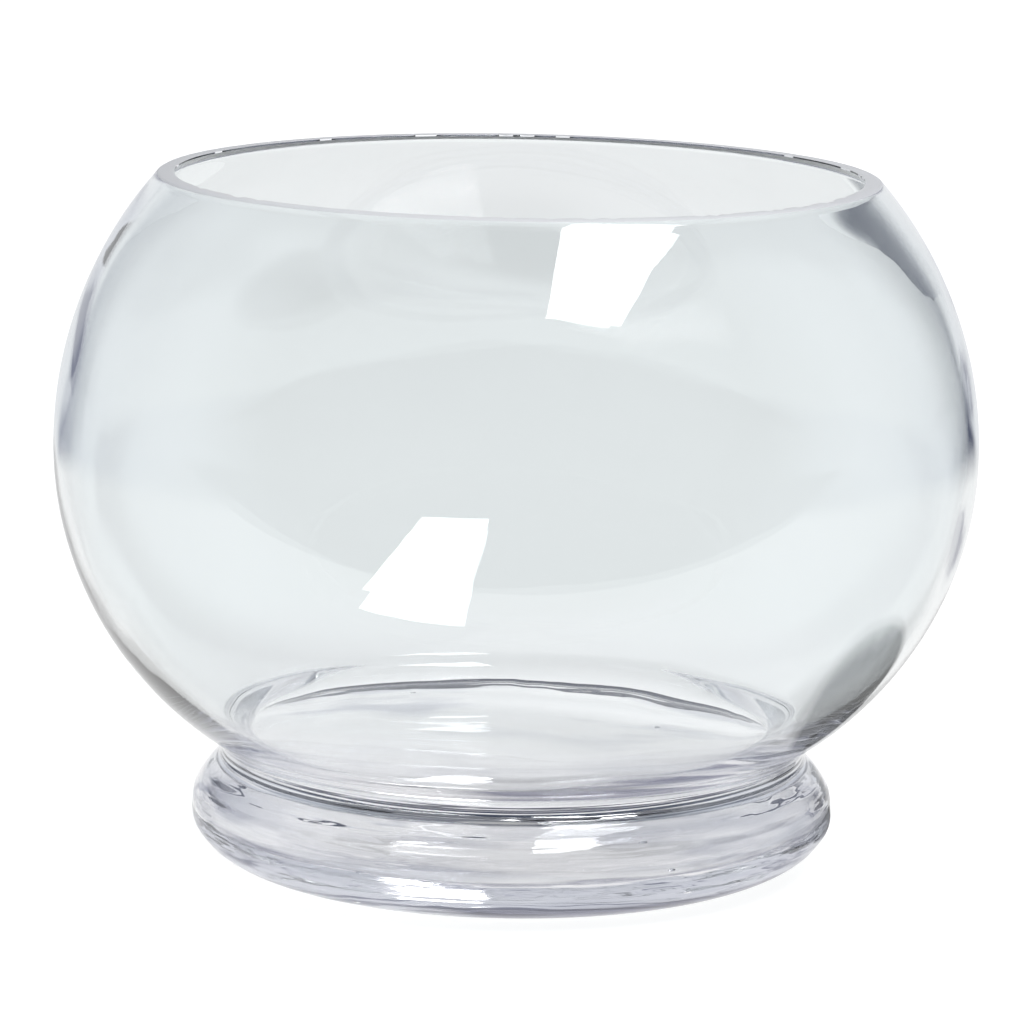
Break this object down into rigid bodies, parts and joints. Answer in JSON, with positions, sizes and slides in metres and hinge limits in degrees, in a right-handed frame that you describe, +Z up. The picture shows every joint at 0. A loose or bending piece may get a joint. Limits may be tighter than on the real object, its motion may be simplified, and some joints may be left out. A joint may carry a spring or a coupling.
{
  "type": "rose bowl vase",
  "caption": "Round clear glass bowl vase with a wide flat ground rim, a pinched neck and a hollow rolled foot, for cut flowers or floating blooms.",
  "frame": {"origin": "centre of the flat base, where the vase stands", "axes": "+Z up along the axis that the bowl and the foot are turned round; +X to the right and +Y away from the viewer of the picture"},
  "size_m": [0.2516, 0.2516, 0.19],
  "materials": {
    "clear_glass": "clear and fire polished, with a fine ground land at the rim"
  },
  "bodies": {
    "root": {"bowl": "clear_glass", "foot": "clear_glass"}
  },
  "joints": []
}
